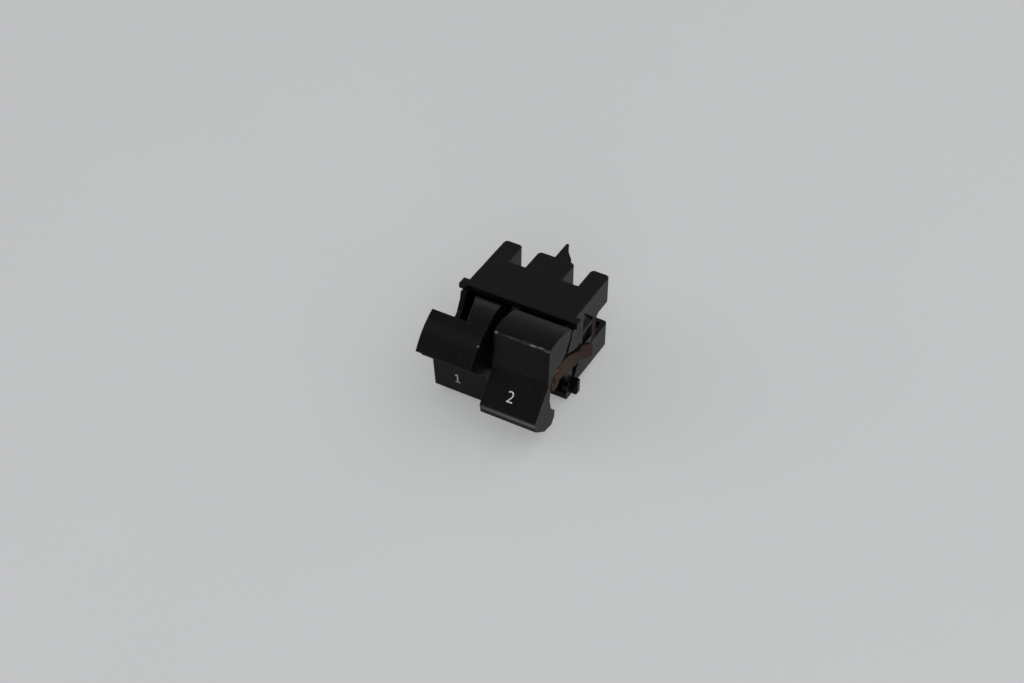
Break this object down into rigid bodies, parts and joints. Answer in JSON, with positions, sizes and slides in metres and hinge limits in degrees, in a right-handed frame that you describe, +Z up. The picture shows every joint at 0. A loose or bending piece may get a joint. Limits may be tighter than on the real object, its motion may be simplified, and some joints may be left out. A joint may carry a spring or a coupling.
{
  "type": "headlamp rocker switch",
  "caption": "Panel-mount lighting switch with side-by-side rocker keys on one pin, in a black two-part housing with pronged rear and blade terminals.",
  "frame": {"origin": "bottom centre of the whole part's box", "axes": "+X across the keys to the right as seen from the front, +Y from the keys back to the terminals, +Z up"},
  "size_m": [0.049, 0.0718, 0.0405],
  "materials": {
    "shell": "black moulded plastic, satin",
    "frame": "black moulded plastic, satin",
    "key": "black moulded plastic, fine satin",
    "carrier": "brown phenolic",
    "steel": "bright steel",
    "copper": "tarnished copper strip",
    "brass": "stamped brass",
    "nylon": "black nylon",
    "pin": "tarnished copper-plated steel"
  },
  "bodies": {
    "base": {"upper_shell": "shell", "lower_shell": "shell", "bearing_frame": "frame", "contact_carrier": "carrier", "pivot_pin": "pin", "right_side_strip": "copper", "left_side_strip": "copper", "right_feed_terminal": "brass", "right_upper_terminal": "brass", "right_lower_terminal": "brass", "left_feed_terminal": "brass", "left_upper_terminal": "brass", "left_lower_terminal": "brass"},
    "right_key": {"right_key": "key", "right_plunger_spring": "steel"},
    "right_plunger": {"right_plunger": "nylon"},
    "right_rocker": {"right_rocker_contact": "copper"},
    "left_key": {"left_key": "key", "left_plunger_spring": "steel"},
    "left_plunger": {"left_plunger": "nylon"},
    "left_rocker": {"left_rocker_contact": "copper"}
  },
  "joints": [
    {"name": "right_key_hinge", "type": "hinge", "parent": "base", "child": "right_key", "pos_m": [0.012, -0.01687, 0.02109], "axis": [1, 0, 0], "range_deg": [0, 48]},
    {"name": "right_rocker_hinge", "type": "hinge", "parent": "base", "child": "right_rocker", "pos_m": [0.01107, 0.00493, 0.02109], "axis": [1, 0, 0], "range_deg": [-12, 0]},
    {"name": "right_plunger_slide", "type": "slide", "parent": "right_key", "child": "right_plunger", "axis": [0, 0.9135, -0.4067], "range_m": [-0.0012, 0], "stiffness_N_per_m": 250, "springref_m": 0.003, "deforming": ["right_plunger_spring"]},
    {"name": "left_key_hinge", "type": "hinge", "parent": "base", "child": "left_key", "pos_m": [-0.012, -0.01687, 0.02109], "axis": [1, 0, 0], "range_deg": [-48, 0]},
    {"name": "left_rocker_hinge", "type": "hinge", "parent": "base", "child": "left_rocker", "pos_m": [-0.01107, 0.00493, 0.02109], "axis": [1, 0, 0], "range_deg": [0, 12]},
    {"name": "left_plunger_slide", "type": "slide", "parent": "left_key", "child": "left_plunger", "axis": [0, 0.9135, 0.4067], "range_m": [-0.0012, 0], "stiffness_N_per_m": 250, "springref_m": 0.003, "deforming": ["left_plunger_spring"]}
  ],
  "couplings": [
    {"joint": "right_rocker_hinge", "follows": "right_key_hinge", "ratio": -0.25},
    {"joint": "left_rocker_hinge", "follows": "left_key_hinge", "ratio": -0.25}
  ]
}
